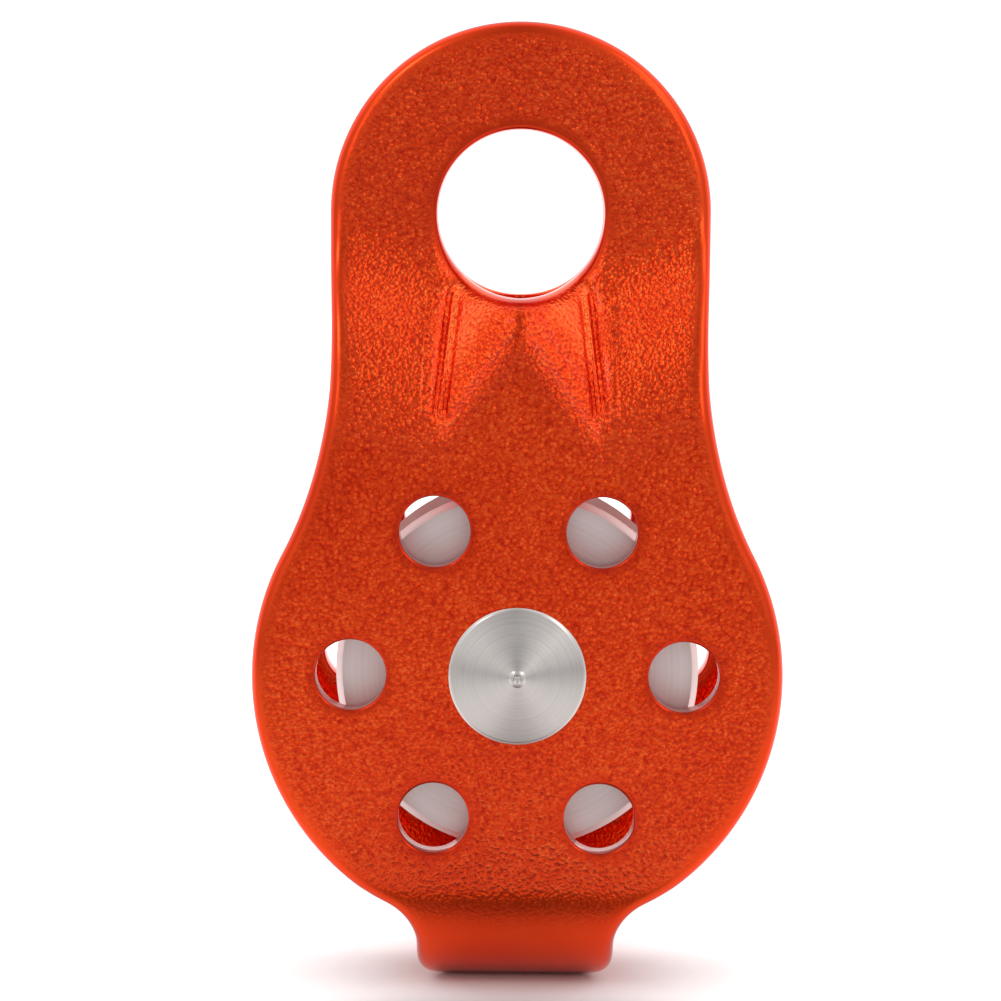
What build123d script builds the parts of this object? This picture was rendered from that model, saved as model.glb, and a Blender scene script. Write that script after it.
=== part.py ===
# Fixed side-plate rope pulley: a U-bent aluminium frame carries a grooved sheave on two ball bearings.
# Millimetres. +Z up, the frame's flat front faces -Y, and the origin is the centre of the connector eye.
from build123d import *
import os
from math import degrees, hypot, radians, sqrt, tan

os.makedirs("parts", exist_ok=True)

# ---- driving dimensions -------------------------------------------------------------------------
plate = 3.5  # thickness of the frame's sheet
rope_gap = 15.0  # clear width between the side plates
axle_drop = 45.9  # eye centre down to axle centre

eye_radius = 8.45
eye_relief = 0.4  # the eye is this much wider through the gusset, outside the tab
tab_radius = 19.4  # rounded top of the side plates, around the eye
tab_parting = 0.1  # hairline between the two tabs where they are pressed together

body_radius = 26.7  # round lower part of the side plates, around the axle
waist_radius = 38.0  # hollow side between the body and the tab
neck_width = 20.0  # strip that joins the side plates below the sheave
neck_radius = 6.0  # hollow corner between the body and the neck
neck_corner = 2.2
bend_drop = 21.4  # axle centre down to the centre of the bottom bend

vent_circle = 16.65  # radius of the circle that the six vents lie on
vent_radius = 3.55
vent_count = 6
edge_rounding = 0.9

flank_foot = (8.2, -18.7)  # x, z of the flank's lower bend beside the gusset
flank_rise = (11.2, 4.8)  # direction of that bend, outwards and up
flank_run = 10.5  # level distance that the flank takes to climb from tab to body
gusset_foot = (7.6, -18.9)  # x, z of the foot of the M-shaped gusset
gusset_run = 5.6  # level distance that a gusset facet takes to climb from tab to body
bend_shift = 1.0  # how far the inside bends sit from the outside ones

axle_radius = 4.0
head_radius = 6.9
head_rim = 0.35
head_height = 2.1
head_nib = 0.55  # radius of the turning mark left at the cone's point
tenon_radius = 2.2
tenon_length = 1.0

sheave_radius = 18.3
sheave_width = 14.0
groove_radius = 6.1
groove_floor = 11.5  # radius of the groove's bottom
rim_chamfer = 0.65
shoulder_width = 1.2  # ring inside the sheave that keeps the bearings apart
shoulder_radius = 7.3

bearing_radius = 8.0
bearing_width = 5.0
ball_radius = 1.0
ball_count = 9
pitch_radius = 6.0
race_clearance = 0.04
inner_land = 5.2
outer_land = 6.8
shield_thickness = 0.25
shield_inset = 0.15
shield_radii = (5.55, 7.15)
cage_radii = (5.55, 6.45)
cage_depths = (-1.5, 0.45)
pocket_clearance = 0.06

spacer_radius = 6.5
spacer_nose_radius = 5.2
spacer_nose = 1.0
circlip_thickness = 0.7
circlip_radii = (7.2, 8.5)
circlip_gap = 50  # degrees of opening
circlip_lug = 0.9  # radius of an ear
circlip_lug_radius = 7.4  # axle centre to an ear's centre
circlip_hole = 0.4

# ---- worked out from them -----------------------------------------------------------------------
half_gap = rope_gap / 2
half_depth = half_gap + plate  # mid-plane out to the plates' outer faces
climb = half_gap - tab_parting / 2  # how far a plate moves outwards from tab to body
axle_z = -axle_drop
bend_z = axle_z - bend_drop
bottom_z = bend_z - half_depth
reach = 60.0  # longer than anything it cuts
# Turned parts are drawn in this plane: local x runs along the axle to the rear, local y is the radius.
turning = Plane(origin=(0, 0, axle_z), x_dir=(0, 1, 0), z_dir=(1, 0, 0))
axle_line = Axis((0, 0, axle_z), (0, 1, 0))
bearing_middle = (bearing_width + shoulder_width) / 2  # mid-plane of the pulley out to a bearing's
bearing_end = bearing_width + shoulder_width / 2


def save(part, name):
    """Names a finished piece and writes it as parts/NAME.step."""
    part.label = name
    export_step(part, f"parts/{name}.step")


# ---- frame --------------------------------------------------------------------------------------
def slope(point, direction, run, level, side):
    """Solid under a plane that climbs from tab to body level. The climb starts on the line through
    point (x, z) along direction and ends run further on; side is 1 for right, -1 for left."""
    px, pz = point
    dx, dz = direction
    size = hypot(dx, dz)
    along = Vector(side * dx / size, 0, dz / size)
    across = Vector(-side * dz / size, 0, dx / size)
    if across.Z < 0:
        across = across * -1
    plane = Plane(origin=(side * px, 0, pz), x_dir=across, z_dir=along)
    depth_sign = plane.y_dir.Y  # local y points to the front or to the rear
    with BuildPart() as wedge:
        with BuildSketch(plane):
            with BuildLine():
                foot = -level - climb
                outline = [(run, -level), (0, foot), (-reach, foot), (-reach, 0), (run, 0)]
                Polyline([(a, b * depth_sign) for a, b in outline], close=True)
            make_face()
        extrude(amount=reach, both=True)
    return wedge.part


def half_space(side):
    """Block on one side of the plane X = 0."""
    with BuildPart() as block:
        with Locations((side * reach / 2, 0, 0)):
            Box(reach, 2 * reach, 3 * reach)
    return block.part


def press_form(level, shift):
    """Everything behind one face of the front plate: level is that face's distance in front of the
    mid-plane at the tab, shift moves the bends towards the body."""
    foot_x, foot_z = gusset_foot
    apex_z = -eye_radius
    facet = (foot_x, foot_z - apex_z)
    facet_size = hypot(*facet)
    inwards = (facet[1] / facet_size * shift, -foot_x / facet_size * shift)
    flank_size = hypot(*flank_rise)
    flank_point = (
        flank_foot[0] + flank_rise[1] / flank_size * shift,
        flank_foot[1] - flank_rise[0] / flank_size * shift,
    )
    flanks = [slope(flank_point, flank_rise, flank_run, level, s) & half_space(s) for s in (1, -1)]
    facets = [
        slope((inwards[0], apex_z + inwards[1]), facet, gusset_run, level, s) for s in (1, -1)
    ]
    with BuildPart() as form:
        with BuildSketch(Plane.XZ):
            Rectangle(2 * reach, 2 * reach)
        extrude(amount=level)
        add(flanks[0] + flanks[1])
        add(facets[0] & facets[1])
    return form.part


def side_outline():
    """Front view of the frame, filled, with neither the eye nor the vents."""
    with BuildSketch(Plane.XZ) as outline:
        Circle(tab_radius)
        with Locations((0, axle_z / 2)):
            Rectangle(2 * tab_radius, axle_drop)
        with Locations((0, axle_z)):
            Circle(body_radius)
        waist = outline.vertices().filter_by(lambda v: -35 < v.Y < -5 and abs(v.X) > tab_radius - 0.1)
        fillet(waist, waist_radius)
        with Locations((0, (axle_z + bottom_z) / 2)):
            Rectangle(neck_width, axle_z - bottom_z)
        armpits = outline.vertices().filter_by(lambda v: bottom_z + 1 < v.Y < axle_z - 5)
        fillet(armpits, neck_radius)
        fillet(outline.vertices().filter_by(lambda v: v.Y < bottom_z + 0.1), neck_corner)
    return outline.sketch


def build_front_plate():
    """Front half of the frame: its side plate and its quarter of the bottom bend, cut to outline."""
    with BuildPart() as sheet:
        add(press_form(plate + tab_parting / 2, 0))
        add(press_form(tab_parting / 2, bend_shift), mode=Mode.SUBTRACT)
        with Locations((0, -reach, bend_z - reach)):
            Box(2 * reach, 2 * reach, 2 * reach, mode=Mode.SUBTRACT)
    with BuildPart() as bend:
        with BuildSketch(Plane.YZ):
            with Locations((0, bend_z)):
                Circle(half_depth)
                Circle(half_gap, mode=Mode.SUBTRACT)
            with Locations((0, bend_z + reach / 2)):
                Rectangle(2 * half_depth, reach, mode=Mode.SUBTRACT)
            with Locations((half_depth / 2, bend_z)):
                Rectangle(half_depth, 3 * half_depth, mode=Mode.SUBTRACT)
        extrude(amount=reach, both=True)
    with BuildPart() as cutter:
        extrude(side_outline(), amount=half_depth - edge_rounding)
        with BuildSketch(Plane.XZ.offset(half_depth - edge_rounding)):
            add(side_outline())
        extrude(amount=edge_rounding, taper=45)
    with BuildPart() as half:
        add(sheet.part)
        add(bend.part)
        add(cutter.part, mode=Mode.INTERSECT)
    return half.part


def is_outside(face):
    """True for the faces of the tab and its flanks that look away from the pulley's mid-plane."""
    return face.normal_at().Y * face.center().Y > 0.3


def is_rim(face):
    """True for the faces cut through the sheet's thickness."""
    return abs(face.normal_at().Y) < 0.001


with BuildPart() as frame:
    add(build_front_plate())
    mirror(about=Plane.XZ)
    rim_edges = frame.faces().filter_by(is_rim).edges()
    tab_edges = [
        edge
        for edge in frame.faces().filter_by(is_outside).edges()
        if edge.center().Z > flank_foot[1] + flank_rise[1]
        and any(edge.is_same(other) for other in rim_edges)
    ]
    fillet(tab_edges, edge_rounding)
    with Locations(Plane.XZ):
        Cylinder(eye_radius, 4 * half_depth, mode=Mode.SUBTRACT)
    for side in (-1, 1):
        with BuildSketch(Plane.XZ.offset(side * (plate + tab_parting / 2))):
            Circle(eye_radius + eye_relief)
        extrude(amount=side * reach, mode=Mode.SUBTRACT)
    with Locations(Plane(origin=(0, 0, axle_z), x_dir=(1, 0, 0), z_dir=(0, -1, 0))):
        Cylinder(axle_radius, 4 * half_depth, mode=Mode.SUBTRACT)
        with PolarLocations(vent_circle, vent_count):
            Cylinder(vent_radius, 4 * half_depth, mode=Mode.SUBTRACT)
save(frame.part, "frame")


# ---- axle ---------------------------------------------------------------------------------------
def cone_outline(side):
    """Corners of a shallow cone head on the outside of one plate; side is -1 in front, 1 behind."""
    corners = [
        (0, 0),
        (0, head_radius),
        (head_rim, head_radius),
        (head_height - head_nib / 4, head_nib),
        (head_height, 0),
    ]
    return [(side * (half_depth + height), radius) for height, radius in corners]


with BuildPart() as axle:
    with BuildSketch(turning):
        Polygon(*cone_outline(-1), align=None)
        Polygon(
            (-half_depth, 0),
            (-half_depth, axle_radius),
            (half_depth, axle_radius),
            (half_depth, tenon_radius),
            (half_depth + tenon_length, tenon_radius),
            (half_depth + tenon_length, 0),
            align=None,
        )
    revolve(axis=axle_line)
save(axle.part, "axle")

with BuildPart() as axle_cap:
    with BuildSketch(turning):
        Polygon(*cone_outline(1), align=None)
        with Locations((half_depth, 0)):
            Rectangle(2 * tenon_length, 2 * tenon_radius, mode=Mode.SUBTRACT)
    revolve(axis=axle_line)
save(axle_cap.part, "axle_cap")


# ---- spacers ------------------------------------------------------------------------------------
def build_spacer(side):
    """Bush with a flange against the plate and a nose against the bearing's inner ring."""
    corners = [
        (bearing_end, axle_radius),
        (bearing_end, spacer_nose_radius),
        (bearing_end + spacer_nose, spacer_nose_radius),
        (bearing_end + spacer_nose, spacer_radius),
        (half_gap, spacer_radius),
        (half_gap, axle_radius),
    ]
    with BuildPart() as spacer:
        with BuildSketch(turning):
            Polygon(*[(side * along, radius) for along, radius in corners], align=None)
        revolve(axis=axle_line)
    return spacer.part


save(build_spacer(-1), "front_spacer")
save(build_spacer(1), "rear_spacer")

with BuildPart() as bearing_spacer:
    with BuildSketch(turning):
        with Locations((0, (axle_radius + inner_land) / 2)):
            Rectangle(shoulder_width, inner_land - axle_radius)
    revolve(axis=axle_line)
save(bearing_spacer.part, "bearing_spacer")

# ---- sheave -------------------------------------------------------------------------------------
with BuildPart() as sheave:
    with BuildSketch(turning):
        with Locations((0, sheave_radius / 2)):
            Rectangle(sheave_width, sheave_radius)
        rim_corners = [(side * sheave_width / 2, sheave_radius) for side in (-1, 1)]
        for along, radius in rim_corners:
            with Locations((along, radius)):
                Rectangle(rim_chamfer * sqrt(2), rim_chamfer * sqrt(2), rotation=45, mode=Mode.SUBTRACT)
        with Locations((0, groove_floor + groove_radius)):
            Circle(groove_radius, mode=Mode.SUBTRACT)
        with Locations((0, groove_floor + 2 * groove_radius)):
            Rectangle(2 * groove_radius, 2 * groove_radius, mode=Mode.SUBTRACT)
        Rectangle(sheave_width, 2 * shoulder_radius, mode=Mode.SUBTRACT)
        for side in (-1, 1):
            with Locations((side * (sheave_width + shoulder_width) / 4, bearing_radius / 2)):
                Rectangle((sheave_width - shoulder_width) / 2, bearing_radius, mode=Mode.SUBTRACT)
            with Locations((side * (bearing_end + circlip_thickness / 2), circlip_radii[1] / 2)):
                Rectangle(circlip_thickness, circlip_radii[1], mode=Mode.SUBTRACT)
    revolve(axis=axle_line)
save(sheave.part, "sheave")


# ---- circlips -----------------------------------------------------------------------------------
def build_circlip(side):
    """Open ring with two drilled ears, sprung into its groove outside one bearing."""
    start = side * bearing_end
    lug_angle = circlip_gap / 2 + degrees(circlip_lug / circlip_lug_radius)
    with BuildPart() as ring:
        with BuildSketch(Plane(origin=(0, start, axle_z), x_dir=(1, 0, 0), z_dir=(0, side, 0))):
            Circle(circlip_radii[1])
            Circle(circlip_radii[0], mode=Mode.SUBTRACT)
            far = 2 * circlip_radii[1]
            half_width = far * tan(radians(circlip_gap / 2))
            Polygon((0, 0), (far, -half_width), (far, half_width), align=None, mode=Mode.SUBTRACT)
            with PolarLocations(circlip_lug_radius, 2, start_angle=-lug_angle, angular_range=4 * lug_angle):
                Circle(circlip_lug)
                Circle(circlip_hole, mode=Mode.SUBTRACT)
        extrude(amount=circlip_thickness)
    return ring.part


with BuildPart() as circlips:
    add(build_circlip(-1))
    add(build_circlip(1))
save(circlips.part, "circlips")


# ---- ball bearings ------------------------------------------------------------------------------
def build_ring(middle, inner, outer):
    """Bearing ring between two radii, with the balls' groove cut into it."""
    with BuildPart() as ring:
        with BuildSketch(turning):
            with Locations((middle, (inner + outer) / 2)):
                Rectangle(bearing_width, outer - inner)
            with Locations((middle, pitch_radius)):
                Circle(ball_radius + race_clearance, mode=Mode.SUBTRACT)
        revolve(axis=axle_line)
    return ring.part


def build_outer_ring(middle):
    """Outer ring: the same with a recess at each end for a shield."""
    recess = shield_inset + shield_thickness
    with BuildPart() as ring:
        add(build_ring(middle, outer_land, bearing_radius))
        with BuildSketch(turning):
            for side in (-1, 1):
                with Locations((middle + side * (bearing_width - recess) / 2, shield_radii[1] / 2)):
                    Rectangle(recess, shield_radii[1])
        revolve(axis=axle_line, mode=Mode.SUBTRACT)
    return ring.part


def across(middle):
    """Plane square to the axle, this far behind the pulley's mid-plane."""
    return Plane(origin=(0, middle, axle_z), x_dir=(1, 0, 0), z_dir=(0, -1, 0))


def build_balls(middle):
    """Balls evenly round the axle, as one node."""
    with BuildPart() as balls:
        with Locations(across(middle)):
            with PolarLocations(pitch_radius, ball_count):
                Sphere(ball_radius)
    return balls.part


def build_cage(middle, side):
    """Crown cage: a ring with its back to the outside and a pocket for each ball."""
    back, front = cage_depths
    inner, outer = cage_radii
    with BuildPart() as cage:
        with BuildSketch(turning):
            with Locations((middle - side * (back + front) / 2, (inner + outer) / 2)):
                Rectangle(front - back, outer - inner)
        revolve(axis=axle_line)
        with Locations(across(middle)):
            with PolarLocations(pitch_radius, ball_count):
                Sphere(ball_radius + pocket_clearance, mode=Mode.SUBTRACT)
    return cage.part


def build_shield(middle, side):
    """Thin washer let into the outer ring at one end of the bearing."""
    inner, outer = shield_radii
    along = middle + side * (bearing_width / 2 - shield_inset - shield_thickness / 2)
    with BuildPart() as shield:
        with BuildSketch(turning):
            with Locations((along, (inner + outer) / 2)):
                Rectangle(shield_thickness, outer - inner)
        revolve(axis=axle_line)
    return shield.part


for name, side in (("front", -1), ("rear", 1)):
    middle = side * bearing_middle
    save(build_ring(middle, axle_radius, inner_land), f"{name}_inner_ring")
    save(build_outer_ring(middle), f"{name}_outer_ring")
    save(build_balls(middle), f"{name}_balls")
    save(build_cage(middle, side), f"{name}_cage")
    save(build_shield(middle, side), f"{name}_outer_shield")
    save(build_shield(middle, -side), f"{name}_inner_shield")
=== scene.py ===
import math

import bpy
import numpy as np
from mathutils import Euler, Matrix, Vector
from mathutils.geometry import delaunay_2d_cdt


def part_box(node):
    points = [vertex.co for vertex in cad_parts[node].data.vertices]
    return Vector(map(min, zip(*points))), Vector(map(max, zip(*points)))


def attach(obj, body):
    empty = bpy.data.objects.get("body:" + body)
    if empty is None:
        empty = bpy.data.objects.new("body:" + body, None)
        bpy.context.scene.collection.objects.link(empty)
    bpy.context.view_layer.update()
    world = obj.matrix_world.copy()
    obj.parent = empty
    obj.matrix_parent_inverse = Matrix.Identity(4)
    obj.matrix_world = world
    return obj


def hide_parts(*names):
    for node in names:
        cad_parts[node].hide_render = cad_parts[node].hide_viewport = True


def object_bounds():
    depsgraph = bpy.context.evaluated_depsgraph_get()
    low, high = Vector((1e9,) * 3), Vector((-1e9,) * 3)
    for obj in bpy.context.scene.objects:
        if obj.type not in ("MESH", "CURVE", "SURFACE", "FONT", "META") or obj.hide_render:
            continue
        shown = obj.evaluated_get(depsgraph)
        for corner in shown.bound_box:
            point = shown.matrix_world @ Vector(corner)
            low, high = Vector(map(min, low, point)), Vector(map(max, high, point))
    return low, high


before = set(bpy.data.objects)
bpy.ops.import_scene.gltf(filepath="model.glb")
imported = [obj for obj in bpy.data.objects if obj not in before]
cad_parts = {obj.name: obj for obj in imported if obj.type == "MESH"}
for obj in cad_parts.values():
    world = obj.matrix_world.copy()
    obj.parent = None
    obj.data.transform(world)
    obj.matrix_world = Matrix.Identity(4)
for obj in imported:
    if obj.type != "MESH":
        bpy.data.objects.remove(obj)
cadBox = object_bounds()
print("frame loaded")

mm = 0.001
axleLow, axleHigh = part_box("axle")
axleZ = (axleLow[2] + axleHigh[2]) / 2
floorZ = cadBox[0][2]

studio = {
    "cameraAside": -0.0015,
    "cameraBack": 0.3403,  # camera to the pulley's mid-plane
    "cameraAboveAxle": 0.0493,
    "pan": -0.055,  # degrees
    "tilt": -5.5,
    "roll": 0.46,
    "lens": 119.9,
    # tone of the light from behind the camera round to beyond the object, which the metal mirrors
    "sky": ((0.0, 0.62), (0.035, 0.37), (0.14, 0.40), (0.30, 0.48), (0.5, 0.95), (0.62, 1.45), (1.0, 0.95)),
    "sideEnd": 1.1,
    "sideGlow": 1.5,  # extra tone to the left and right, most at half way round
    # tone of the floor from far in front of the object to behind it, by metres along y; the grey in front is
    # painted shade for the metal to mirror
    "floorTones": ((-0.50, 0.30), (-0.25, 0.42), (-0.14, 0.60), (-0.05, 0.84), (-0.016, 0.93)),
    "footShadowTone": 0.85,  # how much of the floor's tone is left in the painted shadow under the object's foot
    # a painted shadow before the foot, a darker patch which the neck mirrors as shade: its y, its inner and
    # outer reach, and its tone
    "shadowPatch": (-0.031, 0.006, 0.024, 0.22),
    "shadowPatchSquash": 0.5,  # under 1 makes it wider across than it is deep
    "floorGlow": 0.42,  # its own light, behind and beside the object
    # where that light grows: along y, and out from the foot; then how far the painted shadow at the foot
    # reaches
    "glowStarts": (-0.030, -0.008),
    "glowClears": (0.008, 0.040),
    "footShadowReach": (0.006, 0.020),
    "hazeSize": 0.3,
    "haze": 0.002,
    "floorRoughness": 0.9,
    "floorReach": 1.6,
    "backdropBehind": 0.5,
    "backdropBend": 0.25,
    "backdropHeight": 1.2,
    "backdropSteps": 24,
    # name: where it stands, its size and its watts; each points at the axle
    "lamps": {
        "topLeftBox": ((-0.34, -0.42, 0.42), (0.16, 0.16), 0.35),
        "topRightBox": ((0.42, -0.34, 0.40), (0.26, 0.26), 0.3),
        "lowLeftBox": ((-0.33, -0.50, 0.17), (0.15, 0.15), 0.06),
        "lowRightBox": ((0.30, -0.50, 0.19), (0.16, 0.20), 0.13),
    },
}


def setStudio(s):
    data = bpy.data.cameras.new("camera")
    data.lens = s["lens"]
    data.sensor_width = 36.0
    data.clip_start = 0.01
    camera = bpy.data.objects.new("camera", data)
    pan, tilt = math.radians(s["pan"]), math.radians(s["tilt"])
    look = Vector((math.sin(pan) * math.cos(tilt), math.cos(pan) * math.cos(tilt), math.sin(tilt)))
    camera.location = (s["cameraAside"], -s["cameraBack"], axleZ + s["cameraAboveAxle"])
    turn = look.to_track_quat("-Z", "Y").to_matrix()
    camera.rotation_euler = (turn @ Euler((0, 0, math.radians(s["roll"]))).to_matrix()).to_euler()
    bpy.context.collection.objects.link(camera)
    bpy.context.scene.camera = camera
    bpy.context.scene.view_settings.view_transform = "Standard"

    sky = Paint.forSky("studioSky")
    direction = sky.node("ShaderNodeTexCoord", output="Generated")
    away = sky.node("ShaderNodeSeparateXYZ", {}, {0: direction}, "Y")
    side = sky.node("ShaderNodeSeparateXYZ", {}, {0: direction}, "X")
    stops = [(place, (tone, tone, tone, 1.0)) for place, tone in s["sky"]]
    tone = sky.node("ShaderNodeValToRGB", {"stops": stops}, {0: away * 0.5 + 0.5})
    aside = (side * side) ** 0.5
    glow = aside * (s["sideEnd"] - aside) * s["sideGlow"]
    glow = sky.node("ShaderNodeCombineColor", {}, {0: glow, 1: glow, 2: glow})
    sky.plug(sky.shader.inputs["Color"], sky.vector("ADD", tone, glow))
    bpy.context.scene.world = sky.material

    for name, (place, size, power) in s["lamps"].items():
        lamp = bpy.data.lights.new(name, "AREA")
        lamp.shape = "RECTANGLE"
        lamp.size, lamp.size_y = size
        lamp.energy = power
        holder = bpy.data.objects.new(name, lamp)
        holder.location = place
        aim = Vector((0.0, 0.0, axleZ)) - Vector(place)
        holder.rotation_euler = aim.to_track_quat("-Z", "Y").to_euler()
        bpy.context.collection.objects.link(holder)


# wraps a value socket, so that arithmetic on it adds Math nodes
class Wire:
    def __init__(self, paint, socket):
        self.paint = paint
        self.socket = socket

    def math(self, operation, first, second=None):
        return self.paint.node("ShaderNodeMath", {"operation": operation}, {0: first, 1: second})

    def __add__(self, other):
        return self.math("ADD", self, other)

    def __radd__(self, other):
        return self.math("ADD", other, self)

    def __sub__(self, other):
        return self.math("SUBTRACT", self, other)

    def __rsub__(self, other):
        return self.math("SUBTRACT", other, self)

    def __mul__(self, other):
        return self.math("MULTIPLY", self, other)

    def __rmul__(self, other):
        return self.math("MULTIPLY", other, self)

    def __truediv__(self, other):
        return self.math("DIVIDE", self, other)

    def __pow__(self, other):
        return self.math("POWER", self, other)


# one material, built up from nodes
class Paint:
    def __init__(self, name):
        self.material = bpy.data.materials.new(name)
        self.material.use_nodes = True
        self.tree = self.material.node_tree
        self.shader = self.tree.nodes["Principled BSDF"]

    @classmethod
    def forSky(cls, name):
        made = cls.__new__(cls)
        made.material = bpy.data.worlds.new(name)
        made.material.use_nodes = True
        made.tree = made.material.node_tree
        made.shader = made.tree.nodes["Background"]
        return made

    def plug(self, target, value):
        if value is None:
            return
        if isinstance(value, Wire):
            self.tree.links.new(value.socket, target)
        else:
            target.default_value = value

    def node(self, kind, settings=None, inputs=None, output=0):
        made = self.tree.nodes.new(kind)
        for key, value in (settings or {}).items():
            if key == "stops":
                ramp = made.color_ramp.elements
                while len(ramp) < len(value):
                    ramp.new(0.5)
                for stop, (place, colour) in zip(ramp, value):
                    stop.position = place
                    stop.color = colour
            else:
                setattr(made, key, value)
        for key, value in (inputs or {}).items():
            self.plug(made.inputs[key], value)
        return Wire(self, made.outputs[output])

    def place(self):
        return self.node("ShaderNodeTexCoord", output="Object")

    def noise(self, scale, detail=2.0, roughness=0.5, vector=None):
        inputs = {"Vector": vector or self.place(), "Scale": scale, "Detail": detail, "Roughness": roughness}
        return self.node("ShaderNodeTexNoise", {}, inputs, "Fac")

    def vector(self, operation, first, second):
        return self.node("ShaderNodeVectorMath", {"operation": operation}, {0: first, 1: second})

    def blend(self, factor, first, second):
        settings = {"data_type": "RGBA"}
        return self.node("ShaderNodeMix", settings, {0: factor, 6: first, 7: second}, 2)

    def bump(self, height, distance, normal=None):
        inputs = {"Height": height, "Distance": distance, "Strength": 1.0, "Normal": normal}
        return self.node("ShaderNodeBump", {}, inputs, "Normal")

    def fromAxle(self):
        # distance from the axle's centre line, in metres
        axes = self.node("ShaderNodeSeparateXYZ", {}, {0: self.place()}).socket.node
        across = Wire(self, axes.outputs["X"])
        up = Wire(self, axes.outputs["Z"]) - axleZ
        return (across * across + up * up) ** 0.5

    def set(self, **values):
        for key, value in values.items():
            self.plug(self.shader.inputs[socketNames[key]], value)


socketNames = {
    "colour": "Base Color",
    "metallic": "Metallic",
    "roughness": "Roughness",
    "coat": "Coat Weight",
    "coatRoughness": "Coat Roughness",
    "glow": "Emission Color",
    "glowStrength": "Emission Strength",
    "normal": "Normal",
}

anodisedLook = {
    # the ramp's ends: dark for painted shade in the hollows and on the rims, light for painted highlight on
    # the peaks and the facets
    "valley": (0.55, 0.017, 0.0012, 1.0),
    "field": (0.80, 0.052, 0.004, 1.0),
    "peak": (0.96, 0.145, 0.026, 1.0),
    "roughness": 0.22,
    "speckleGloss": 0.1,  # how far the roughness follows the grain
    "cloudSize": 14 * mm,
    "cloudiness": 0.3,
    "peelSize": 0.34 * mm,
    "peelDepth": 0.105 * mm,
    "cellSpacing": 0.9,  # cells of the grain to one peelSize
    "cellDepth": 0.55,
    "dyeLevel": 0.52,  # where on the ramp from valley to peak the plain dye lies
    # painted highlight on the grain's peaks and painted shade in its hollows: how strong, and how much of it
    # follows the cells
    "paintedReliefStrength": 0.95,
    "cellPaintedShade": 0.5,
    "cellMiddle": 0.35,
    "rimPaintedShade": 0.30,  # how far the colour darkens on the rims, as painted shade
    "facetHighlightStrength": 0.34,  # how far the colour lightens on the pressed facets, as painted highlight
    "coat": 0.22,
    "coatRoughness": 0.14,
}


def anodisedOrange(s):
    # hammered grain as relief, with painted shade in its hollows and painted highlight on its peaks; the
    # rims are smooth and darker, with painted shade
    p = Paint("anodisedOrange")
    grain = p.node("ShaderNodeAttribute", {"attribute_name": "grain"}, {}, "Fac")
    rim = p.node("ShaderNodeAttribute", {"attribute_name": "rim"}, {}, "Fac")
    drawn = p.node("ShaderNodeAttribute", {"attribute_name": "drawn"}, {}, "Fac")
    cloud = p.noise(1 / s["cloudSize"], 3.0)
    peel = p.noise(1 / s["peelSize"], 1.5, 0.5)
    cells = p.node(
        "ShaderNodeTexVoronoi",
        {"feature": "SMOOTH_F1"},
        {"Vector": p.place(), "Scale": s["cellSpacing"] / s["peelSize"], "Smoothness": 0.5},
        "Distance",
    )
    height = (peel - cells * s["cellDepth"]) * grain
    # painted highlight and shade: the colour follows the relief's height, lighter on the peaks and darker in
    # the hollows
    paintedRelief = (peel - 0.5 - (cells - s["cellMiddle"]) * s["cellPaintedShade"]) * grain * s["paintedReliefStrength"]
    shade = s["dyeLevel"] + paintedRelief + (cloud - 0.5) * s["cloudiness"]
    # painted highlight on the pressed facets, then painted shade on the rims
    shade = shade + drawn * s["facetHighlightStrength"] - rim * s["rimPaintedShade"]
    stops = [(0.15, s["valley"]), (0.5, s["field"]), (0.9, s["peak"])]
    p.set(
        colour=p.node("ShaderNodeValToRGB", {"stops": stops}, {0: shade}),
        metallic=1.0,
        roughness=s["roughness"] + (peel - 0.5) * grain * s["speckleGloss"],
        coat=s["coat"],
        coatRoughness=s["coatRoughness"],
        normal=p.bump(height, s["peelDepth"]),
    )
    return p.material


turnedLook = {
    "steel": {"dark": (0.53, 0.492, 0.468, 1.0), "light": (0.72, 0.68, 0.655, 1.0), "roughness": 0.23,
              "pitch": 0.22 * mm, "depth": 0.0018 * mm},
    "sheaveAlloy": {"dark": (0.66, 0.585, 0.57, 1.0), "light": (0.86, 0.79, 0.78, 1.0), "roughness": 0.50,
                    "pitch": 0.30 * mm, "depth": 0.003 * mm},
    "bearingSteel": {"dark": (0.50, 0.50, 0.52, 1.0), "light": (0.66, 0.66, 0.68, 1.0), "roughness": 0.16,
                     "pitch": 0.12 * mm, "depth": 0.001 * mm},
    "shieldSteel": {"dark": (0.42, 0.42, 0.43, 1.0), "light": (0.56, 0.56, 0.57, 1.0), "roughness": 0.30,
                    "pitch": 0.35 * mm, "depth": 0.002 * mm},
    "springSteel": {"dark": (0.035, 0.036, 0.04, 1.0), "light": (0.09, 0.09, 0.10, 1.0), "roughness": 0.45,
                    "pitch": 0.5 * mm, "depth": 0.002 * mm},
}

turnedMarks = {
    "scratchPitch": 0.28,  # as a share of the rings' pitch
    "scratchDepth": 0.5,
    "smudgeSize": 5 * mm,
    "ringTone": 0.6,
    "smudgeTone": 0.4,
    "smudgeGloss": 0.2,  # how far the roughness follows the smudges, then the scratches
    "scratchGloss": 0.1,
}


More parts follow.
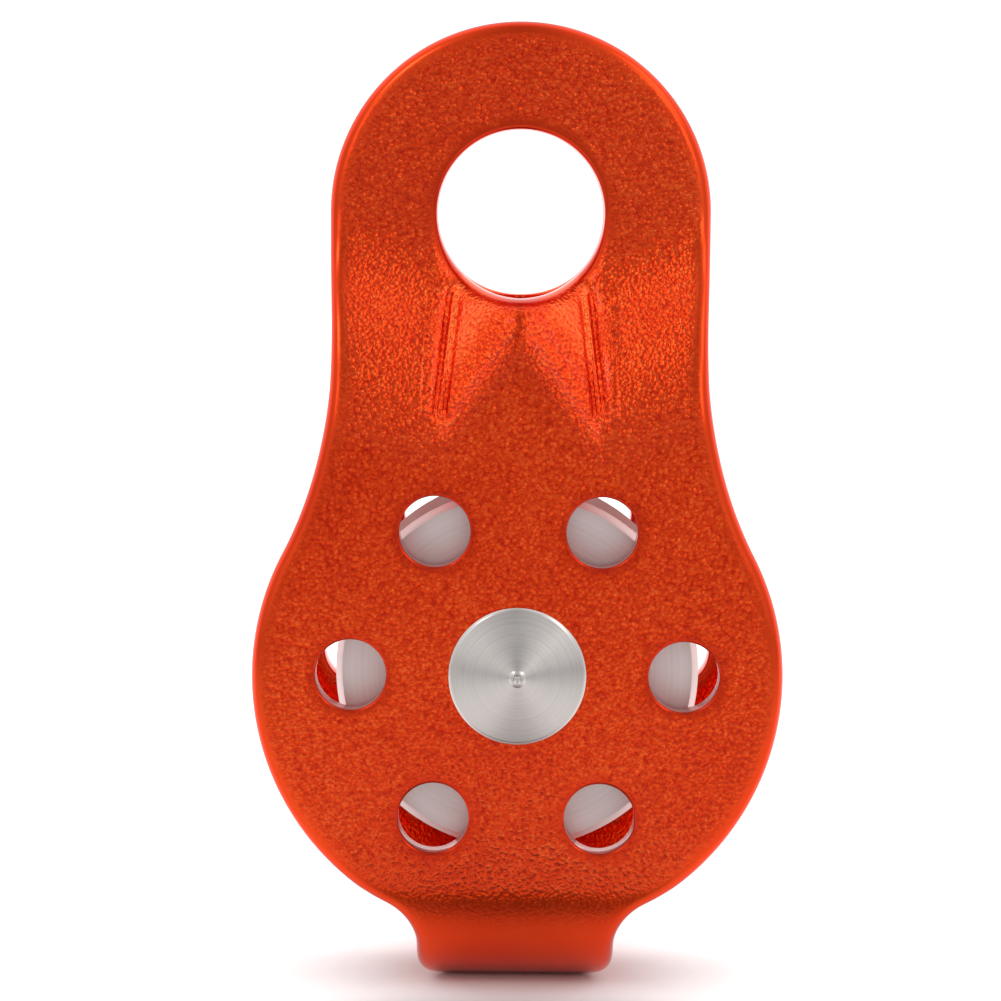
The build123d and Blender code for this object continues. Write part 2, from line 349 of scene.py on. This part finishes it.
def turnedMetal(name, s, marks=turnedMarks):
    # lathe marks: noise along the radius only, so each ring keeps one tone
    p = Paint(name)
    radius = p.fromAxle()
    ring = p.node("ShaderNodeCombineXYZ", {}, {0: radius / s["pitch"], 1: 0.37, 2: 0.71})
    scratchPitch = s["pitch"] * marks["scratchPitch"]
    fine = p.node("ShaderNodeCombineXYZ", {}, {0: radius / scratchPitch, 1: 0.11, 2: 0.53})
    mark = p.noise(1.0, 2.0, 0.6, ring)
    scratch = p.noise(1.0, 1.0, 0.5, fine)
    smudge = p.noise(1 / marks["smudgeSize"], 3.0)
    p.set(
        colour=p.blend(mark * marks["ringTone"] + smudge * marks["smudgeTone"], s["dark"], s["light"]),
        metallic=1.0,
        roughness=(
            s["roughness"]
            + (smudge - 0.5) * marks["smudgeGloss"]
            + (scratch - 0.5) * marks["scratchGloss"]
        ),
        normal=p.bump(mark + scratch * marks["scratchDepth"], s["depth"]),
    )
    return p.material


cageLook = {
    "dark": (0.010, 0.009, 0.008, 1.0),
    "light": (0.030, 0.027, 0.024, 1.0),
    "roughness": 0.45,
    "fleckSize": 0.3 * mm,
    "fleckGloss": 0.2,
    "fleckDepth": 0.01 * mm,
}


def mouldedCage(s):
    p = Paint("mouldedCage")
    fleck = p.noise(1 / s["fleckSize"], 3.0)
    p.set(
        colour=p.blend(fleck, s["dark"], s["light"]),
        roughness=s["roughness"] + (fleck - 0.5) * s["fleckGloss"],
        normal=p.bump(fleck, s["fleckDepth"]),
    )
    return p.material


def paleFloor(s):
    # pale and faintly lit of itself, except round the object's foot and in front of it, where it is grey:
    # painted shadow round the foot and just before it, and painted shade further in front for the metal to
    # mirror
    p = Paint("paleFloor")
    black, white = (0.0, 0.0, 0.0, 1.0), (1.0, 1.0, 1.0, 1.0)

    def eased(value, reach, low=0.0, high=1.0):
        settings = {"interpolation_type": "SMOOTHSTEP"}
        inputs = {0: value, 1: reach[0], 2: reach[1], 3: low, 4: high}
        return p.node("ShaderNodeMapRange", settings, inputs)

    haze = p.noise(1 / s["hazeSize"], 2.0)
    ahead = p.node("ShaderNodeSeparateXYZ", {}, {0: p.place()}, "Y")
    aside = p.node("ShaderNodeSeparateXYZ", {}, {0: p.place()}, "X")
    first, last = s["floorTones"][0][0], s["floorTones"][-1][0]
    stops = [((y - first) / (last - first), (tone, tone, tone, 1.0)) for y, tone in s["floorTones"]]
    depth = (ahead - first) / (last - first) + (haze - 0.5) * s["haze"]
    away = (aside * aside + ahead * ahead) ** 0.5
    behind = eased(ahead, s["glowStarts"])
    clear = eased(away, s["glowClears"])
    # painted shadow round the object's foot
    foot = eased(away, s["footShadowReach"], s["footShadowTone"])
    # a painted shadow patch before the foot, which the neck mirrors as shade
    shadowPatchY, inner, outer, shadowPatchTone = s["shadowPatch"]
    before = ahead - shadowPatchY
    off = (aside * aside * s["shadowPatchSquash"] + before * before) ** 0.5
    shadowPatch = eased(off, (inner, outer), shadowPatchTone)
    tone = p.node("ShaderNodeValToRGB", {"stops": stops}, {0: depth})
    p.set(
        colour=p.blend(foot * shadowPatch, black, tone),
        roughness=s["floorRoughness"],
        glow=p.blend(behind * clear, black, white),
        glowStrength=s["floorGlow"],
    )
    return p.material


def makePiece(name, points, faces, material):
    mesh = bpy.data.meshes.new(name)
    mesh.from_pydata(points.tolist(), [], faces)
    mesh.update()
    mesh.polygons.foreach_set("use_smooth", np.ones(len(mesh.polygons), dtype=bool))
    mesh.materials.append(material)
    piece = bpy.data.objects.new(name, mesh)
    bpy.context.collection.objects.link(piece)
    return piece


def paintNode(node, material):
    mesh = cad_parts[node].data
    mesh.materials.clear()
    mesh.materials.append(material)


def addFloor(s, material):
    # floor and backdrop in one sheet: a straight run, a quarter round, then a straight rise
    reach, behind, bend = s["floorReach"], s["backdropBehind"], s["backdropBend"]
    turn = np.linspace(0, math.pi / 2, s["backdropSteps"])
    alongY = np.concatenate(([-reach], behind + bend * np.sin(turn), [behind + bend]))
    alongZ = np.concatenate(([0.0], bend - bend * np.cos(turn), [s["backdropHeight"]]))
    side = np.array([-reach, reach])
    x, y = np.meshgrid(side, alongY, indexing="ij")
    z = np.broadcast_to(alongZ + floorZ, x.shape)
    points = np.stack([x, y, z], axis=-1).reshape(-1, 3)
    count = len(alongY)
    faces = [(i, i + count, i + count + 1, i + 1) for i in range(count - 1)]
    makePiece("floor", points, faces, material)


sheet = {
    "thick": 3.5,
    "halfGap": 7.5,
    "tabRadius": 19.25,
    "bodyRadius": 26.6,
    "bodyDrop": 0.3,  # the round body sits this much lower than the axle
    "sidePull": 0.45,  # how far the sides draw in where the tab is pressed
    "pullAt": -13.5,
    "pullReach": 8.0,
    "waistRadius": 38.0,
    "neckHalf": 10.0,
    "neckRadius": 6.0,
    "neckPinch": 1.9,  # how much narrower the neck is in the middle of the bend
    "pinchReach": 3.2,
    "bendDrop": 21.4,  # axle centre down to the bend's centre
    "eyeRadius": 8.45,
    "ventRadius": 3.55,
    "ventCircle": 16.65,
    "ventCount": 6,
    "axleRadius": 4.0,
    "parting": 0.05,  # half the hairline between the two tabs
    "rimRound": 1.25,
    "ventRound": 0.22,
    "eyeRound": 0.5,
    "eyeLip": 1.7,  # further rounding of the eye's lower edge, where the pressed tongue meets it
    "insideRound": 0.35,
    "cleanGap": 0.12,  # outline points closer than this are dropped
    "eyePoints": 112,
    "axlePoints": 48,
    "ventPoints": 56,
    "outsideRings": 6,  # rings of points that make a rounded rim
    "insideRings": 3,
    "coarse": 0.95,  # spacing of points over the plates
    "rimClearance": 0.55,  # share of the spacing that points keep from a rim
    "fine": 0.36,  # over the pressed form
    "finest": 0.19,  # over the punch's own marks
    "pressedReach": (12.5, -22.0, -3.0),  # half width and z range of the pressed form
    "markedReach": (5.3, 10.3, -20.6, -6.8),  # range of |x| and of z of the punch's marks
    "rimStep": 0.55,
    # bands along the rims that stay free of grain: outer rim, eye, and the axle and vents
    "smoothBands": (1.5, 0.8, 0.25),
    "grainGrows": (0.6, 1.4),  # as shares of a smooth band's width
    "smoothNeck": (12.0, 20.0),  # the grain grows between these distances from the middle of the bend
    "insideGrain": 0.35,
    "rimBand": 0.9,  # band along every rim where the colour is darker, as painted shade
}
pressed = {
    "flankFoot": (8.2, -18.7),
    "flankRise": (11.2, 4.8),
    "flankRun": 10.5,
    "facetApex": (0.0, -8.45),
    "facetFoot": (7.6, -18.9),
    "facetRun": 6.6,
    "flankFootSoftness": 5.0,
    "flankBrinkSoftness": 2.6,
    "facetFootSoftness": 4.0,
    "tongueRound": 0.7,  # how far the two facets run into each other on the centre line
    "facetBrinkSoftness": 0.5,
    "insideShift": 1.0,  # how much nearer the eye the inside face's planes lie
    # shares of the climb: where the painted highlight on the facets ends and how softly, its edge at the
    # brink, and its edge at the crease in millimetres
    "facetHighlightEnd": 0.80,
    "facetHighlightFade": 0.22,
    "facetHighlightBrink": 0.12,
    "facetHighlightCrease": 0.6,
}


def softMin(a, b, width):
    # least of two, with the corner between them rounded off over the width
    h = np.maximum(width - np.abs(a - b), 0.0) / np.maximum(width, 1e-9)
    return np.minimum(a, b) - h * h * width / 4


def pressLevel(x, z, shift, s=pressed):
    # how far a flank plane and a facet plane each stand out from the tab's level, held between nothing and
    # the full climb; the sheet follows whichever is greater
    climb = sheet["halfGap"] - sheet["parting"]
    ax = np.abs(x)
    fx, fz = s["flankFoot"]
    rise = np.array(s["flankRise"]) / math.hypot(*s["flankRise"])
    up = (z - fz) * rise[0] - (ax - fx) * rise[1] + shift
    flank = climb * (1 - up / s["flankRun"])
    px, pz = s["facetApex"]
    edge = np.array(s["facetFoot"]) - np.array(s["facetApex"])
    edge = edge / math.hypot(*edge)
    out = (np.hypot(x, s["tongueRound"]) - px) * -edge[1] + (z - pz) * edge[0] + shift
    facet = climb * (1 - out / s["facetRun"])
    flank = softMin(flank, climb, s["flankFootSoftness"])
    facet = softMin(facet, climb, s["facetFootSoftness"])
    flank = -softMin(-flank, 0.0, s["flankBrinkSoftness"])
    facet = -softMin(-facet, 0.0, s["facetBrinkSoftness"])
    return flank, facet


punch = {
    "top": -8.0,
    "foot": -19.6,
    # each line: |x| at its top, |x| at its foot, half width and height
    "lines": ((6.15, 7.45, 0.24, -0.42), (6.62, 7.95, 0.26, 0.14), (7.05, 8.4, 0.20, -0.24)),
    "bandHeight": 0.22,
    "bandFrom": (7.5, 8.8),
    "bandTo": (9.45, 9.85),
    "bandEdge": 0.10,
    "fade": 0.10,
}


def pressMarks(x, z, s=punch):
    # the punch's own marks beside each facet: narrow bell-shaped lines that lean outwards as they go down,
    # and a low band beyond them that ends in a step
    ax = np.abs(x)
    down = (s["top"] - z) / (s["top"] - s["foot"])
    span = np.clip(down, 0, 1)
    fade = np.clip((down + s["fade"]) / s["fade"], 0, 1) * np.clip((1 + s["fade"] - down) / s["fade"], 0, 1)
    height = np.zeros_like(x)
    for top, foot, width, tall in s["lines"]:
        height += tall * np.exp(-(((ax - top - (foot - top) * span) / width) ** 2))
    near, far = ((a + (b - a) * span) for a, b in (s["bandFrom"], s["bandTo"]))
    inner = 1 / (1 + np.exp(-(ax - near) / (2 * s["bandEdge"])))
    outer = 1 / (1 + np.exp(-(far - ax) / s["bandEdge"]))
    return (height + s["bandHeight"] * inner * outer) * fade


def facetHighlightMask(p, s=pressed):
    # the facets' painted highlight: 1 in the middle of a facet, falling to nothing at its foot, its brink
    # and the crease beside it
    climb = sheet["halfGap"] - sheet["parting"]
    flank, facet = pressLevel(p[:, 0], p[:, 2], 0.0)
    part = facet / climb
    over = np.clip((facet - flank) / s["facetHighlightCrease"], 0, 1)
    ends = np.clip((s["facetHighlightEnd"] - part) / s["facetHighlightFade"], 0, 1)
    return ends * np.clip(part / s["facetHighlightBrink"], 0, 1) * over


def foldSheet(x, s, depth, inside):
    # carries blank points (x across, s along, from the middle of the bend) to their place: the bend is
    # an arc about its centre, the plates run straight up from it, out from the mid-plane by their level;
    # depth is measured in from the outside face, or out from the inside face
    thick, gap = sheet["thick"], sheet["halfGap"]
    outer = gap + thick
    bendZ = axleZ / mm - sheet["bendDrop"]
    quarter = outer * math.pi / 2
    along = np.abs(s)
    side = np.where(s >= 0, -1.0, 1.0)
    angle = np.minimum(along / outer, math.pi / 2)
    radius = np.where(inside, gap + depth, outer - depth)
    above = np.maximum(along - quarter, 0.0)
    z = bendZ - radius * np.cos(angle) + above
    z = np.where(above > 0, bendZ + above, z)
    outLevel = thick + sheet["parting"] + np.maximum(*pressLevel(x, z, 0.0)) + pressMarks(x, z)
    inLevel = sheet["parting"] + np.maximum(*pressLevel(x, z, pressed["insideShift"]))
    level = np.where(inside, inLevel + depth, outLevel - depth)
    y = np.where(above > 0, level, radius * np.sin(angle))
    return np.stack([x, side * y, z], axis=-1) * mm


def arcPoints(centre, radius, start, stop, step):
    count = max(int(abs(stop - start) * radius / step), 3)
    t = np.linspace(start, stop, count, endpoint=False)
    return np.stack([centre[0] + radius * np.cos(t), centre[1] + radius * np.sin(t)], axis=-1)


def halfOutline(s):
    # right-hand edge of one plate, from the top of the tab down to the middle of the bend, in blank terms
    bendZ = axleZ / mm - s["bendDrop"]
    axis = axleZ / mm - s["bodyDrop"]
    outer = s["halfGap"] + s["thick"]
    step = s["rimStep"]
    waistX = s["tabRadius"] + s["waistRadius"]
    waistZ = axis + math.sqrt((s["bodyRadius"] + s["waistRadius"]) ** 2 - waistX**2)
    waistEnd = math.atan2(waistZ - axis, waistX)
    armX = s["neckHalf"] + s["neckRadius"]
    armZ = axis - math.sqrt((s["bodyRadius"] + s["neckRadius"]) ** 2 - armX**2)
    bodyEnd = math.atan2(armZ - axis, armX)
    tab = arcPoints((0, 0), s["tabRadius"], math.pi / 2, 0, step)
    sideZ = np.arange(0, waistZ, -step)
    straight = np.stack([np.full_like(sideZ, s["tabRadius"]), sideZ], axis=-1)
    waist = arcPoints((waistX, waistZ), s["waistRadius"], math.pi, math.pi + waistEnd, step)
    body = arcPoints((0, axis), s["bodyRadius"], waistEnd, bodyEnd, step)
    arm = arcPoints((armX, armZ), s["neckRadius"], math.pi + bodyEnd, math.pi, step)
    plate = np.concatenate([tab, straight, waist, body, arm])
    quarter = outer * math.pi / 2
    x, z = plate[:, 0], plate[:, 1]
    x = x - s["sidePull"] * np.exp(-(((z - s["pullAt"]) / s["pullReach"]) ** 2))
    inBend = outer * np.arccos(np.clip((bendZ - z) / outer, -1, 1))
    along = np.where(z >= bendZ, quarter + z - bendZ, inBend)
    last = outer * math.acos((bendZ - armZ) / outer)
    neckS = np.arange(last, 0, -step)
    neckX = s["neckHalf"] - s["neckPinch"] * np.exp(-((neckS / s["pinchReach"]) ** 2))
    return np.stack([np.concatenate([x, neckX]), np.concatenate([along, neckS])], axis=-1)


def closedOutline(s):
    half = halfOutline(s)
    right = np.concatenate([half, half[:0:-1] * (1, -1)])
    return np.concatenate([right, right[::-1] * (-1, 1)])


def blankHoles(s):
    # every hole as centre, radius, rim rounding and number of points, on both plates
    axis = axleZ / mm
    holes = [
        (0.0, 0.0, s["eyeRadius"], s["eyeRound"], s["eyePoints"]),
        (0.0, axis, s["axleRadius"], s["ventRound"], s["axlePoints"]),
    ]
    for i in range(s["ventCount"]):
        turn = 2 * math.pi * i / s["ventCount"]
        place = (s["ventCircle"] * math.cos(turn), axis + s["ventCircle"] * math.sin(turn))
        holes.append((*place, s["ventRadius"], s["ventRound"], s["ventPoints"]))
    base = eyeAlong(s)
    return [(x, side * (z + base), r, rounding, n) for side in (1, -1) for x, z, r, rounding, n in holes]


def eyeAlong(s):
    # how far along the blank the eye's centre lies from the middle of the bend
    return (s["halfGap"] + s["thick"]) * math.pi / 2 - (axleZ / mm - s["bendDrop"])


def hexGrid(acrossRange, alongRange, pitch):
    across = np.arange(*acrossRange, pitch)
    along = np.arange(*alongRange, pitch * math.sqrt(3) / 2)
    x, y = np.meshgrid(across, along)
    x = x + (np.arange(len(along)) % 2)[:, None] * pitch / 2
    return np.stack([x.ravel(), y.ravel()], axis=-1)


def within(p, area):
    left, right, low, high = area
    return (p[:, 0] > left) & (p[:, 0] < right) & (p[:, 1] > low) & (p[:, 1] < high)


def insetLoop(loop, distance):
    # moves a closed loop sideways by its own normal, to its left
    ahead = np.roll(loop, -1, axis=0) - np.roll(loop, 1, axis=0)
    ahead = ahead / np.linalg.norm(ahead, axis=1)[:, None]
    return loop + np.reshape(distance, (-1, 1)) * np.stack([-ahead[:, 1], ahead[:, 0]], axis=-1)


def blankLoops(s):
    # the outline, counter-clockwise, then every hole, clockwise; each with its rim's rounding
    outline = closedOutline(s)
    gap = np.linalg.norm(outline - np.roll(outline, 1, axis=0), axis=1)
    outline = outline[gap > s["cleanGap"]]
    x, y = outline.T
    if np.sum(x * np.roll(y, -1) - np.roll(x, -1) * y) < 0:
        outline = outline[::-1]
    loops = [(outline, s["rimRound"])]
    for x, along, r, rounding, n in blankHoles(s):
        t = np.linspace(0, 2 * math.pi, n, endpoint=False)
        circle = np.stack([x + r * np.cos(-t), along + r * np.sin(-t)], axis=-1)
        loops.append((circle, rounding))
    return loops


def rimRings(s, loop, rounding, inside):
    # a quarter round in steps: each ring of points with how deep it lies below the sheet's face; the eye's
    # rounding grows towards its lower edge
    size = np.full(len(loop), s["insideRound"] if inside else rounding)
    if rounding == s["eyeRound"] and not inside:
        below = np.clip((eyeAlong(s) - np.abs(loop[:, 1])) / s["eyeRadius"], 0, 1)
        size += s["eyeLip"] * below**2 * (3 - 2 * below)
    turn = np.linspace(0, math.pi / 2, s["insideRings"] if inside else s["outsideRings"])
    return [(insetLoop(loop, size * (1 - math.cos(a))), size * (1 - math.sin(a))) for a in turn]


def faceGrid(s, outline, inside):
    # points over one face with their spacing: coarse, finer over the pressed form, finest on its marks
    limit = np.abs(outline).max(axis=0)
    whole = hexGrid((-limit[0], limit[0]), (-limit[1], limit[1]), s["coarse"])
    patches = []
    if not inside:
        half, low, high = s["pressedReach"]
        near, far, foot, top = s["markedReach"]
        for side in (1, -1):
            area = (-half, half, *sorted((side * (eyeAlong(s) + low), side * (eyeAlong(s) + high))))
            marked = sorted((side * (eyeAlong(s) + foot), side * (eyeAlong(s) + top)))
            strips = [(near, far, *marked), (-far, -near, *marked)]
            whole = whole[~within(whole, area)]
            form = hexGrid(area[:2], area[2:], s["fine"])
            for strip in strips:
                form = form[~within(form, strip)]
            patches.append((form, s["fine"]))
            patches += [(hexGrid(strip[:2], strip[2:], s["finest"]), s["finest"]) for strip in strips]
    patches = [(whole, s["coarse"]), *patches]
    pitches = np.concatenate([np.full(len(grid), pitch) for grid, pitch in patches])
    return np.concatenate([grid for grid, _ in patches]), pitches


def meshFace(s, loops, inside):
    # triangles over one face of the flat blank; returns its points, its triangles and each point's depth
    points, edges, depths, flats = [], [], [], []
    total = 0
    for loop, rounding in loops:
        for ring, drop in rimRings(s, loop, rounding, inside):
            index = np.arange(len(ring)) + total
            edges.append(np.stack([index, np.roll(index, -1)], axis=-1))
            points.append(ring)
            depths.append(drop)
            total += len(ring)
        flats.append((ring, rounding))
    grid, pitches = faceGrid(s, loops[0][0], inside)
    keep = pointsInside(grid, flats)
    grid, pitches = grid[keep], pitches[keep]
    grid = grid[nearest(grid, np.concatenate(points)) > pitches * s["rimClearance"]]
    points = np.concatenate([*points, grid])
    depths = np.concatenate([*depths, np.zeros(len(grid))])
    given = [Vector(p) for p in points.tolist()]
    out = delaunay_2d_cdt(given, np.concatenate(edges).tolist(), [], 0, 1e-6)
    points = np.array([tuple(v) for v in out[0]])
    triangles = np.array(out[2])
    triangles = triangles[pointsInside(points[triangles].mean(axis=1), loops)]
    return points, triangles, depths


def pointsInside(p, loops):
    # inside the outline and outside every hole, by counting crossings of each loop's segments
    inside = np.zeros(len(p), dtype=bool)
    for loop, _ in loops:
        a, b = loop, np.roll(loop, -1, axis=0)
        for start in range(0, len(a), 64):
            ax, ay = a[start : start + 64].T
            bx, by = b[start : start + 64].T
            py = p[:, 1:2]
            crosses = (ay > py) != (by > py)
            safe = np.where(by == ay, 1.0, by - ay)
            at = (bx - ax) * (py - ay) / safe + ax
            inside ^= (np.sum(crosses & (p[:, 0:1] < at), axis=1) % 2).astype(bool)
    return inside


def nearest(p, q):
    best = np.full(len(p), np.inf)
    for start in range(0, len(q), 256):
        d = p[:, None, :] - q[None, start : start + 256, :]
        best = np.minimum(best, np.sqrt((d * d).sum(axis=-1)).min(axis=1))
    return best


def addSheet(s, material):
    loops = blankLoops(s)
    smooth = dict(zip((s["rimRound"], s["eyeRound"], s["ventRound"]), s["smoothBands"]))
    bands = np.array([smooth[rounding] for _, rounding in loops])[:, None]
    places, faces, starts = [], [], []
    looks = {"grain": [], "rim": [], "drawn": []}
    total = 0
    for inside in (False, True):
        points, triangles, depths = meshFace(s, loops, inside)
        place = foldSheet(points[:, 0], points[:, 1], depths, np.full(len(points), inside))
        away = np.array([nearest(points, loop) for loop, _ in loops])
        start, full = s["grainGrows"]
        grain = np.clip((away / bands - start) / (full - start), 0, 1).min(axis=0)
        start, full = s["smoothNeck"]
        grain *= np.clip((np.abs(points[:, 1]) - start) / (full - start), 0, 1)
        looks["grain"].append(grain * (s["insideGrain"] if inside else 1.0))
        # rim mask for the painted shade along every rim
        looks["rim"].append(np.clip(1 - away.min(axis=0) / s["rimBand"], 0, 1))
        # where the facets get their painted highlight
        looks["drawn"].append(facetHighlightMask(place / mm))
        places.append(place)
        starts.append(total)
        faces += ((triangles[:, ::-1] if inside else triangles) + total).tolist()
        total += len(place)
    # walls between the first ring of the outside face and the first ring of the inside face
    outAt, inAt = starts
    for loop, _ in loops:
        i = np.arange(len(loop))
        j = np.roll(i, -1)
        faces += np.stack([outAt + i, inAt + i, inAt + j, outAt + j], axis=-1).tolist()
        outAt += len(loop) * s["outsideRings"]
        inAt += len(loop) * s["insideRings"]
    piece = makePiece("folded_plates", np.concatenate(places), faces, material)
    for name, values in looks.items():
        attribute = piece.data.attributes.new(name, "FLOAT", "POINT")
        attribute.data.foreach_set("value", np.concatenate(values).astype(np.float32))
    print("folded plates:", total, "points,", len(faces), "faces")
    return piece


turnedAxle = {
    "halfDepth": 11.0,
    "shankRadius": 4.0,
    "headRadius": 6.9,
    "headRim": 0.35,
    "headHeight": 2.1,
    "crestRadius": 0.62,  # small turned ring round the cone's point
    "pitDepth": 0.22,
    "tenonRadius": 2.2,
    "tenonLength": 1.0,
    "crestFall": (0.16, 1.35),  # drop beside the crest, and where it ends as a share of the crest's radius
    "pitShares": (0.45, 0.8),  # radii of the pit's floor and its brim, as shares of the crest's
    "rimSoft": 0.25,
    "rimShare": 0.6,  # how much of the rim's height stands straight
    "softness": 0.12,
    "cornerShare": 0.3,  # a corner takes no more than this share of the edges beside it
    "cornerHold": 1.6,
    "cornerPoints": 5,
    "turns": 128,
}


def softProfile(corners, s):
    # each corner becomes a short parabola, with a point held on either side so that flats stay flat
    corners = np.array(corners, dtype=float)
    points = [corners[:1]]
    t = np.linspace(0, 1, s["cornerPoints"])[:, None]
    for before, corner, after in zip(corners, corners[1:], corners[2:]):
        back, on = before - corner, after - corner
        shorter = min(np.linalg.norm(back), np.linalg.norm(on))
        reach = min(s["softness"], s["cornerShare"] * shorter)
        back = back / np.linalg.norm(back) * reach
        on = on / np.linalg.norm(on) * reach
        curve = corner + back * (1 - t) ** 2 + on * t**2
        points += [[corner + back * s["cornerHold"]], curve, [corner + on * s["cornerHold"]]]
    points.append(corners[-1:])
    return np.concatenate(points)


def latheSurface(name, profile, turns, material):
    # surface of revolution about the axle: x = r cos t, y = along, z = axle + r sin t; the profile starts
    # and ends on the centre line, where one point closes it
    along, radius = profile[1:-1].T
    t = np.linspace(0, 2 * math.pi, turns, endpoint=False)
    x = radius[:, None] * np.cos(t)
    z = radius[:, None] * np.sin(t) + axleZ / mm
    y = np.broadcast_to(along[:, None], x.shape)
    ends = [(0, profile[0, 0], axleZ / mm), (0, profile[-1, 0], axleZ / mm)]
    points = np.concatenate([np.stack([x, y, z], axis=-1).reshape(-1, 3), ends]) * mm
    first, last = len(points) - 2, len(points) - 1
    ring = np.arange(len(radius) - 1)[:, None] * turns
    j = np.arange(turns)
    k = np.roll(j, -1)
    walls = np.stack([ring + j, ring + turns + j, ring + turns + k, ring + k], axis=-1).reshape(-1, 4)
    start = np.stack([np.full(turns, first), j, k], axis=-1)
    end = np.stack([np.full(turns, last), ring[-1] + turns + k, ring[-1] + turns + j], axis=-1)
    faces = walls.tolist() + start.tolist() + end.tolist()
    if profile[-1, 0] < profile[0, 0]:
        faces = [face[::-1] for face in faces]
    return makePiece(name, points, faces, material)


def headProfile(s):
    # half section of a cone head as (height above the plate, radius), from its point to its underside
    crest, height = s["crestRadius"], s["headHeight"]
    pitFloor, pitBrim = s["pitShares"]
    fall = (height - s["headRim"]) / (s["headRadius"] - crest)
    return [
        (height - s["pitDepth"], 0.0),
        (height - s["pitDepth"], crest * pitFloor),
        (height, crest * pitBrim),
        (height, crest),
        (height - s["crestFall"][0], crest * s["crestFall"][1]),
        (s["headRim"] + fall * s["rimSoft"], s["headRadius"] - s["rimSoft"]),
        (s["headRim"] * s["rimShare"], s["headRadius"]),
        (0.0, s["headRadius"]),
    ]


def addAxle(s, material):
    half, tip = s["halfDepth"], s["halfDepth"] + s["tenonLength"]
    head = headProfile(s)
    corners = [(-half - height, radius) for height, radius in head]
    corners += [(-half, s["shankRadius"]), (half, s["shankRadius"]), (half, s["tenonRadius"])]
    corners += [(tip, s["tenonRadius"]), (tip, 0.0)]
    axle = latheSurface("turned_axle", softProfile(corners, s), s["turns"], material)
    corners = [(half + height, radius) for height, radius in head]
    corners += [(half, s["tenonRadius"]), (tip, s["tenonRadius"]), (tip, 0.0)]
    cap = latheSurface("turned_cap", softProfile(corners, s), s["turns"], material)
    return axle, cap


setStudio(studio)
addFloor(studio, paleFloor(studio))
print("studio set")

plates = addSheet(sheet, anodisedOrange(anodisedLook))
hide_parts("frame")
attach(plates, "frame")

steel = turnedMetal("turnedSteel", turnedLook["steel"])
for piece, node in zip(addAxle(turnedAxle, steel), ("axle", "axle_cap")):
    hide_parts(node)
    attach(piece, "frame")
print("axle made")

alloy = turnedMetal("sheaveAlloy", turnedLook["sheaveAlloy"])
polished = turnedMetal("bearingSteel", turnedLook["bearingSteel"])
pressedSteel = turnedMetal("shieldSteel", turnedLook["shieldSteel"])
blackSteel = turnedMetal("springSteel", turnedLook["springSteel"])
cagePlastic = mouldedCage(cageLook)
finishes = {
    "front_spacer": steel,
    "rear_spacer": steel,
    "bearing_spacer": steel,
    "sheave": alloy,
    "circlips": blackSteel,
}
for end in ("front", "rear"):
    finishes[f"{end}_inner_ring"] = polished
    finishes[f"{end}_outer_ring"] = polished
    finishes[f"{end}_balls"] = polished
    finishes[f"{end}_cage"] = cagePlastic
    finishes[f"{end}_outer_shield"] = pressedSteel
    finishes[f"{end}_inner_shield"] = pressedSteel
for node, material in finishes.items():
    paintNode(node, material)
print("finishes set")
